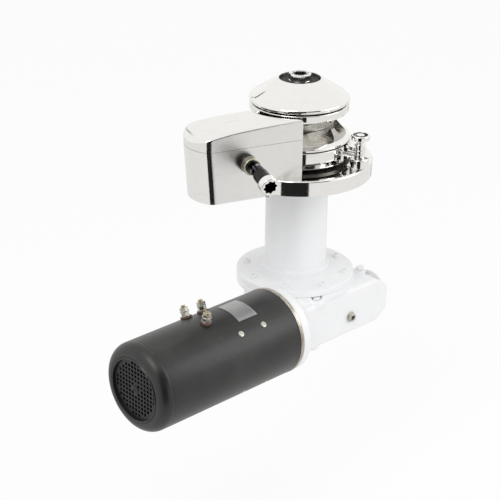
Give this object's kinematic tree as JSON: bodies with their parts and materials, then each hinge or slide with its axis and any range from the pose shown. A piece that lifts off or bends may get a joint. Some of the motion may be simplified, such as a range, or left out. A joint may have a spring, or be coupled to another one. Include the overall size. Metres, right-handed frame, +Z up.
{
  "type": "vertical anchor windlass",
  "caption": "Vertical anchor windlass: polished deck unit with chainwheel, clutch cap, band brake and hinged chain cover, over a deck tube, worm gearbox and motor.",
  "frame": {"origin": "deck plane (underside of the base plate) on the main shaft's axis", "axes": "+Z up along the main shaft; the chain cover and the bow lie towards -X; -Y is the service side with the brake socket; the motor runs towards -X, turned 18.64 degrees about Z"},
  "size_m": [0.5609, 0.3849, 0.5006],
  "materials": {
    "polished_steel": "mirror polished stainless steel",
    "machined_steel": "turned steel",
    "shaft_steel": "ground shaft steel",
    "white_paint": "white enamel on castings",
    "black_paint": "satin black",
    "black_plastic": "moulded black",
    "seal_rubber": "black rubber",
    "lining": "woven friction lining",
    "bronze": "machined bronze",
    "brass": "brass",
    "zinc": "zinc plated",
    "red_fibre": "red fibre",
    "copper": "varnished copper",
    "magnet": "ferrite",
    "carbon": "carbon",
    "label": "blank plate"
  },
  "bodies": {
    "deck_unit": {"base_plate": "polished_steel", "shaft_seal": "seal_rubber", "cover_housing": "polished_steel", "hawse_liner": "polished_steel", "lid_hinge_brackets": "polished_steel", "lid_hinge_pins": "polished_steel", "chain_stripper": "polished_steel", "brake_band_front": "polished_steel", "brake_band_back": "polished_steel", "brake_linings": "lining", "post_foot": "polished_steel", "foot_screw": "zinc", "post_pin": "polished_steel", "post_spacer": "polished_steel", "post_head": "polished_steel", "spindle_boss": "black_plastic", "deck_tube": "white_paint", "flange_screws": "white_paint", "gearbox_case": "white_paint", "gearbox_cover": "white_paint", "cover_screws": "zinc", "ball_bearings": "shaft_steel", "worm_end_cover": "white_paint", "case_bolts": "white_paint", "level_plug": "brass", "motor_ring": "machined_steel", "motor_can": "black_paint", "end_shield": "black_paint", "grille": "black_plastic", "rear_plate": "black_paint", "magnets": "magnet", "pole_screws": "zinc", "brushes": "carbon", "brush_holder": "black_plastic", "terminal_insulators": "red_fibre", "terminal_studs": "brass", "terminal_nuts": "zinc", "label_plate": "label"},
    "main_shaft": {"main_shaft": "shaft_steel", "shaft_keys": "shaft_steel", "lower_cone": "bronze", "worm_wheel": "bronze"},
    "chainwheel": {"gypsy": "polished_steel", "gypsy_bush": "bronze"},
    "cap": {"cap": "polished_steel", "cap_ring": "seal_rubber", "thrust_washer": "bronze"},
    "clutch_nut": {"clutch_nut": "polished_steel"},
    "rotor": {"worm": "shaft_steel", "armature": "shaft_steel", "windings": "copper", "commutator": "copper", "fan": "black_plastic"},
    "lid": {"cover_lid": "polished_steel"},
    "brake_spindle": {"brake_spindle": "black_plastic", "spindle_collar": "zinc"},
    "brake_crosshead": {"brake_crosshead": "bronze"},
    "joint_cross": {"joint_cross": "shaft_steel"},
    "handle_socket": {"handle_socket": "machined_steel", "socket_screw": "zinc"}
  },
  "joints": [
    {"name": "motor_rotor_turn", "type": "hinge", "parent": "deck_unit", "child": "rotor", "pos_m": [0.01886, -0.05591, -0.2505], "axis": [0.9475, 0.3196, 0], "continuous": true},
    {"name": "main_shaft_turn", "type": "hinge", "parent": "deck_unit", "child": "main_shaft", "pos_m": [0, 0, 0], "axis": [0, 0, 1], "continuous": true},
    {"name": "chainwheel_freewheel", "type": "hinge", "parent": "main_shaft", "child": "chainwheel", "pos_m": [0, 0, 0.072], "axis": [0, 0, 1], "continuous": true},
    {"name": "cap_lift", "type": "slide", "parent": "main_shaft", "child": "cap", "axis": [0, 0, 1], "range_m": [0, 0.002]},
    {"name": "clutch_nut_turn", "type": "hinge", "parent": "cap", "child": "clutch_nut", "pos_m": [0, 0, 0.15], "axis": [0, 0, 1], "range_deg": [0, 241]},
    {"name": "lid_hinge", "type": "hinge", "parent": "deck_unit", "child": "lid", "pos_m": [-0.1205, 0.0045, 0.109], "axis": [-1, 0, 0], "range_deg": [0, 100]},
    {"name": "brake_spindle_turn", "type": "hinge", "parent": "deck_unit", "child": "brake_spindle", "pos_m": [-0.141, -0.097, 0.067], "axis": [0, -1, 0], "range_deg": [0, 541]},
    {"name": "brake_crosshead_slide", "type": "slide", "parent": "deck_unit", "child": "brake_crosshead", "axis": [0, -1, 0], "range_m": [0, 0.003]},
    {"name": "socket_joint_inner", "type": "hinge", "parent": "brake_spindle", "child": "joint_cross", "pos_m": [-0.141, -0.134, 0.067], "axis": [1, 0, 0], "range_deg": [-30, 30]},
    {"name": "socket_joint_outer", "type": "hinge", "parent": "joint_cross", "child": "handle_socket", "pos_m": [-0.141, -0.134, 0.067], "axis": [0, -0.1994, 0.9799], "range_deg": [-30, 30]}
  ],
  "couplings": [
    {"joint": "main_shaft_turn", "follows": "motor_rotor_turn", "ratio": -0.027778},
    {"joint": "clutch_nut_turn", "follows": "cap_lift", "rad_per_m": 2094.4},
    {"joint": "brake_spindle_turn", "follows": "brake_crosshead_slide", "rad_per_m": 3141.6}
  ]
}
